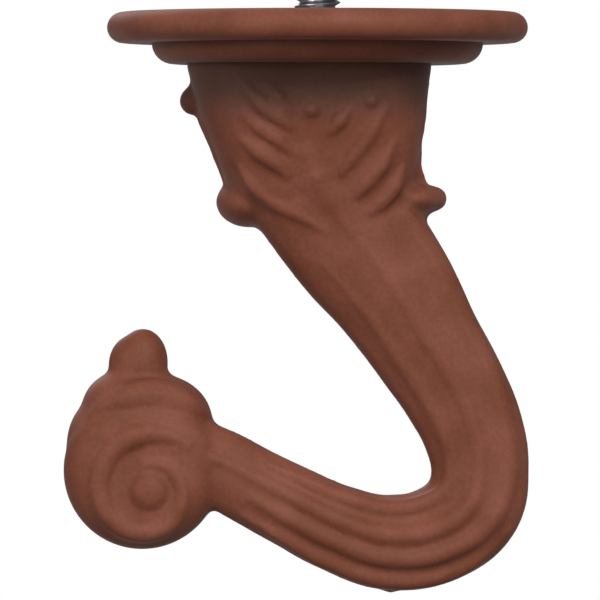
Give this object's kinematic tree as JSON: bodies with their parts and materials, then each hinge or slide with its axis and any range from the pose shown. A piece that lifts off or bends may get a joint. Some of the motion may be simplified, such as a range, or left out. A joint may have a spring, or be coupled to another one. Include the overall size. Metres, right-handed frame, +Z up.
{
  "type": "ceiling hook",
  "caption": "Ornamental cast ceiling hook with a round flange, a reeded arm ending in a scroll, and a spring toggle bolt for a hollow ceiling.",
  "frame": {"origin": "centre of the flange's ceiling face, on the screw's axis", "axes": "+Z up into the ceiling along the screw, +X towards the hook's bend, -X towards its mouth, Y through its depth"},
  "size_m": [0.0419, 0.0382, 0.0847],
  "materials": {
    "cast_enamel": "matt rust-brown enamel over a zinc die casting",
    "screw_zinc": "zinc-plated rolled steel",
    "nut_zinc": "zinc-plated turned steel",
    "wing_zinc": "zinc-plated pressed steel sheet",
    "spring_wire": "bright drawn spring wire"
  },
  "bodies": {
    "hook": {"hook_casting": "cast_enamel"},
    "screw": {"toggle_screw": "screw_zinc"},
    "nut": {"toggle_nut": "nut_zinc"},
    "wing_a": {"toggle_wing_a": "wing_zinc", "wing_spring_a": "spring_wire"},
    "wing_b": {"toggle_wing_b": "wing_zinc", "wing_spring_b": "spring_wire"}
  },
  "joints": [
    {"name": "toggle_turn", "type": "hinge", "parent": "hook", "child": "screw", "pos_m": [0, 0, 0], "axis": [0, 0, 1], "range_deg": [0, 3600]},
    {"name": "nut_travel", "type": "slide", "parent": "screw", "child": "nut", "axis": [0, 0, 1], "range_m": [0, 0.00794]},
    {"name": "wing_a_fold", "type": "hinge", "parent": "nut", "child": "wing_a", "pos_m": [0, 0, 0.021], "axis": [-1, 0, 0], "range_deg": [0, 85], "stiffness_Nm_per_rad": 0.015, "springref_deg": -28.65},
    {"name": "wing_b_fold", "type": "hinge", "parent": "nut", "child": "wing_b", "pos_m": [0, 0, 0.021], "axis": [1, 0, 0], "range_deg": [0, 85], "stiffness_Nm_per_rad": 0.015, "springref_deg": -28.65}
  ],
  "couplings": [
    {"joint": "nut_travel", "follows": "toggle_turn", "m_per_rad": 0.00012633}
  ]
}
